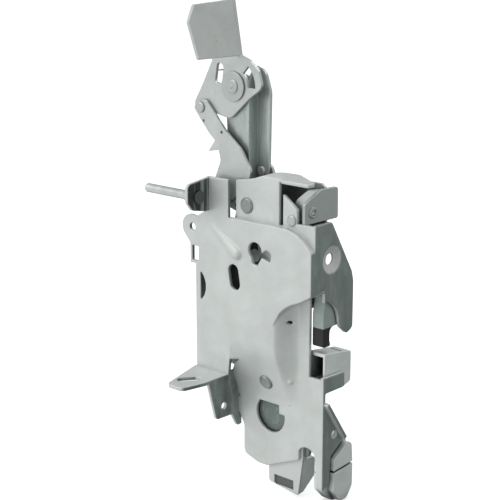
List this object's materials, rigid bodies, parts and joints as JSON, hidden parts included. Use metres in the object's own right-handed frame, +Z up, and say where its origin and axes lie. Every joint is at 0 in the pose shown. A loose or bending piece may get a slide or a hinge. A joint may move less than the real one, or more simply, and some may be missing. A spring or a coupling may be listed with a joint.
{
  "type": "door latch",
  "caption": "Folded steel door latch with a fork, pawl, release lever with push pad, lock lever, rod stud and a guide block under its mouth.",
  "frame": {"origin": "centre of the upper screw hole, at the bottom of its dimple in the end plate", "axes": "+X out of the end plate towards the jamb, +Y inboard the way the mouth opens, +Z up"},
  "size_m": [0.1228, 0.0759, 0.2907],
  "materials": {
    "zinc_sheet": "zinc-plated sheet, cool grey, softly worn",
    "dull_sheet": "zinc-plated steel, darker and duller",
    "flag_steel": "dark plated steel",
    "turned_steel": "turned and plated, brighter",
    "spring_wire": "drawn wire, plated",
    "cast_zinc": "cast or forged block, plated, satin",
    "black_plastic": "black, matte"
  },
  "bodies": {
    "case": {"frame": "zinc_sheet", "back_plate": "dull_sheet", "spacer_posts": "turned_steel", "back_rivets": "turned_steel", "stud": "turned_steel", "upper_bracket": "zinc_sheet", "bracket_rivets": "turned_steel", "crank_pivot": "turned_steel", "pivot_washer": "turned_steel", "crank_spring": "spring_wire", "lever_pivot": "dull_sheet", "lever_spring": "spring_wire", "remote_pivot": "turned_steel", "fork_pin": "turned_steel", "fork_spring": "spring_wire", "pawl_pin": "turned_steel", "pawl_spring": "spring_wire", "pivot_bracket": "zinc_sheet", "striker_block": "cast_zinc", "lock_pivot": "dull_sheet", "blocker_pivot": "dull_sheet", "lock_spring": "spring_wire", "lower_foot": "zinc_sheet", "foot_rivets": "turned_steel", "guide_block": "cast_zinc", "guide_shoe": "cast_zinc", "notch_rivet": "dull_sheet"},
    "release": {"bell_crank": "zinc_sheet", "upper_link_pin": "turned_steel"},
    "link": {"crank_link": "zinc_sheet"},
    "lift": {"lift_lever": "zinc_sheet", "lower_link_pin": "turned_steel"},
    "remote": {"remote_lever": "zinc_sheet", "pull_flag": "flag_steel"},
    "fork_body": {"fork": "cast_zinc", "fork_bumper": "black_plastic", "ratchet_cam": "dull_sheet"},
    "pawl_body": {"pawl": "dull_sheet"},
    "lock": {"lock_lever": "dull_sheet", "lock_link_pins": "turned_steel"},
    "lock_rod": {"lock_link": "zinc_sheet"},
    "blocker": {"lock_blocker": "dull_sheet"}
  },
  "joints": [
    {"name": "release_turn", "type": "hinge", "parent": "case", "child": "release", "pos_m": [-0.0624, -0.0096, 0.0926], "axis": [0, 1, 0], "range_deg": [-10, 0], "stiffness_Nm_per_rad": 0.25, "springref_deg": 11.46, "deforming": ["crank_spring"]},
    {"name": "link_turn", "type": "hinge", "parent": "release", "child": "link", "pos_m": [-0.0866, -0.011, 0.0787], "axis": [0, 1, 0], "range_deg": [0, 13.5]},
    {"name": "lift_turn", "type": "hinge", "parent": "case", "child": "lift", "pos_m": [-0.0477, -0.0096, 0.0262], "axis": [0, 1, 0], "range_deg": [-11.9, 0], "deforming": ["lever_spring"]},
    {"name": "pawl_turn", "type": "hinge", "parent": "case", "child": "pawl_body", "pos_m": [-0.0098, -0.0118, -0.009], "axis": [1, 0, 0], "range_deg": [0, 13.2], "deforming": ["pawl_spring"]},
    {"name": "fork_turn", "type": "hinge", "parent": "case", "child": "fork_body", "pos_m": [-0.0034, 0.005, -0.022], "axis": [1, 0, 0], "range_deg": [-40, 0], "stiffness_Nm_per_rad": 0.05, "springref_deg": 45.84, "deforming": ["fork_spring"]},
    {"name": "remote_turn", "type": "hinge", "parent": "case", "child": "remote", "pos_m": [-0.0141, -0.01, 0.0225], "axis": [0, 1, 0], "range_deg": [-5, 0]},
    {"name": "lock_turn", "type": "hinge", "parent": "case", "child": "lock", "pos_m": [-0.0365, -0.0028, -0.0792], "axis": [0, 1, 0], "range_deg": [-14, 0], "deforming": ["lock_spring"]},
    {"name": "lock_rod_turn", "type": "hinge", "parent": "lock", "child": "lock_rod", "pos_m": [-0.0485, -0.0052, -0.0692], "axis": [0, 1, 0], "range_deg": [0, 14.2]},
    {"name": "blocker_turn", "type": "hinge", "parent": "case", "child": "blocker", "pos_m": [-0.0511, -0.0028, -0.006], "axis": [0, 1, 0], "range_deg": [-14.2, 0]}
  ],
  "couplings": [
    {"joint": "link_turn", "follows": "release_turn", "ratio": -1.328},
    {"joint": "lift_turn", "follows": "release_turn", "ratio": 1.173},
    {"joint": "pawl_turn", "follows": "release_turn", "ratio": -1.3},
    {"joint": "lock_rod_turn", "follows": "lock_turn", "ratio": -1},
    {"joint": "blocker_turn", "follows": "lock_turn", "ratio": 1}
  ]
}
